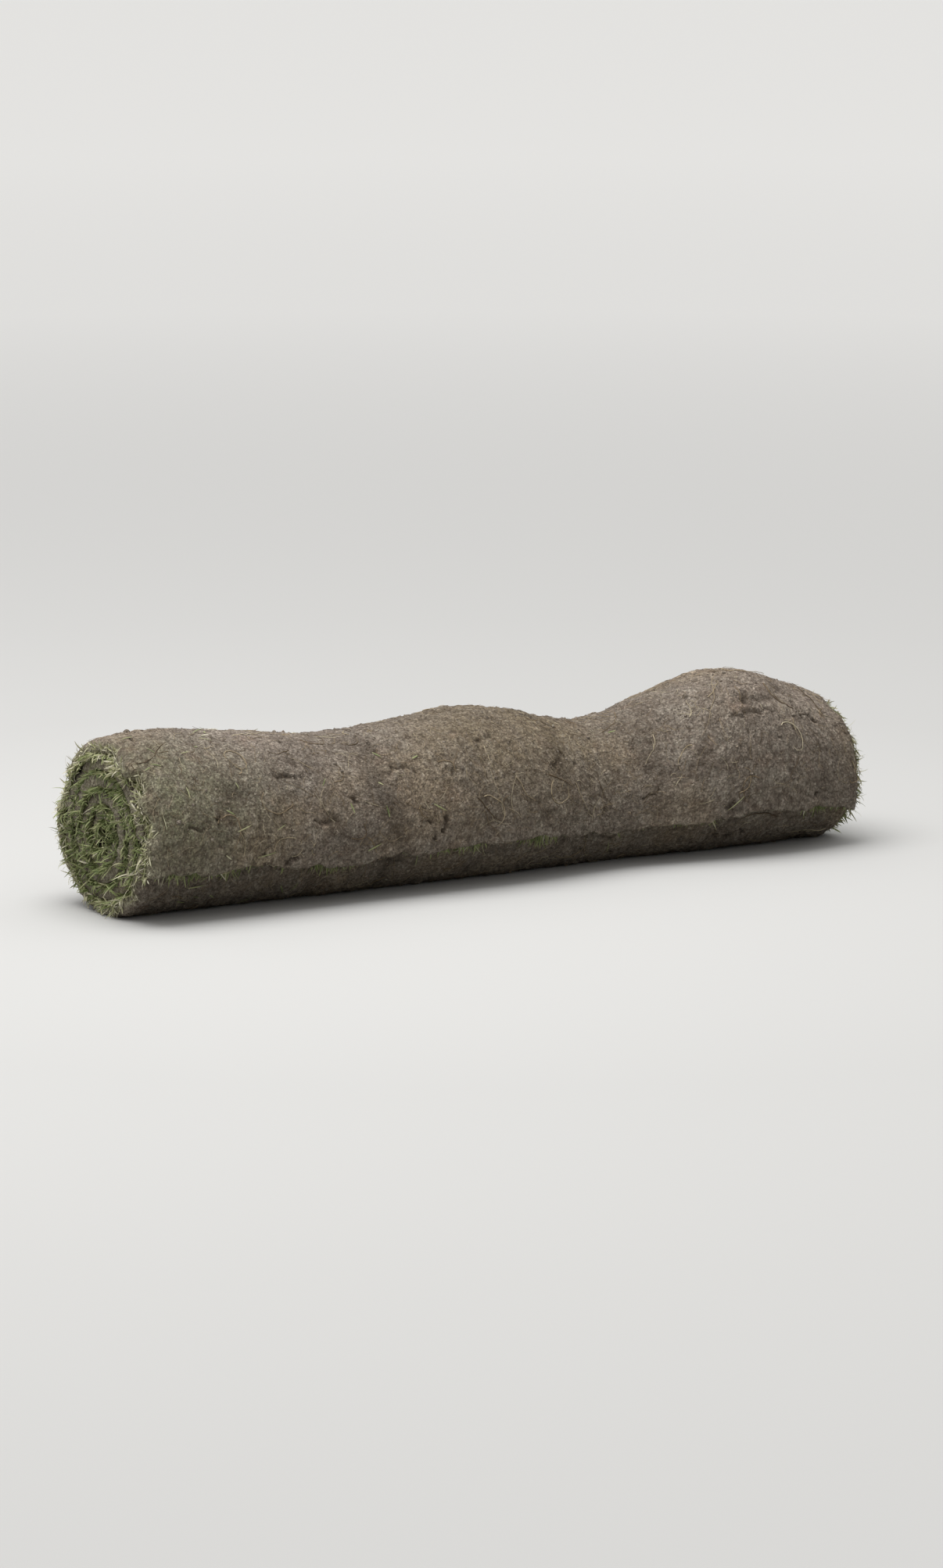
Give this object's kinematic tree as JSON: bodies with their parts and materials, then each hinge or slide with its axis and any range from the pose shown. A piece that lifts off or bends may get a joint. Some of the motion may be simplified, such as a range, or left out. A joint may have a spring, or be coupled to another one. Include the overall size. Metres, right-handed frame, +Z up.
{
  "type": "roll of turf",
  "caption": "Cut strip of lawn rolled up soil side out into a soft, lumpy roll that lies on its side.",
  "frame": {"origin": "on the floor under the middle of the roll", "axes": "+X along the roll from its looser, wider end to the other, -Y towards the side where the strip's tail ends, +Z up"},
  "size_m": [0.762, 0.1767, 0.1602],
  "materials": {
    "soil": "matte",
    "grass": "matte",
    "roots": "matte"
  },
  "bodies": {
    "root": {"turf_roll": "soil"}
  },
  "joints": []
}
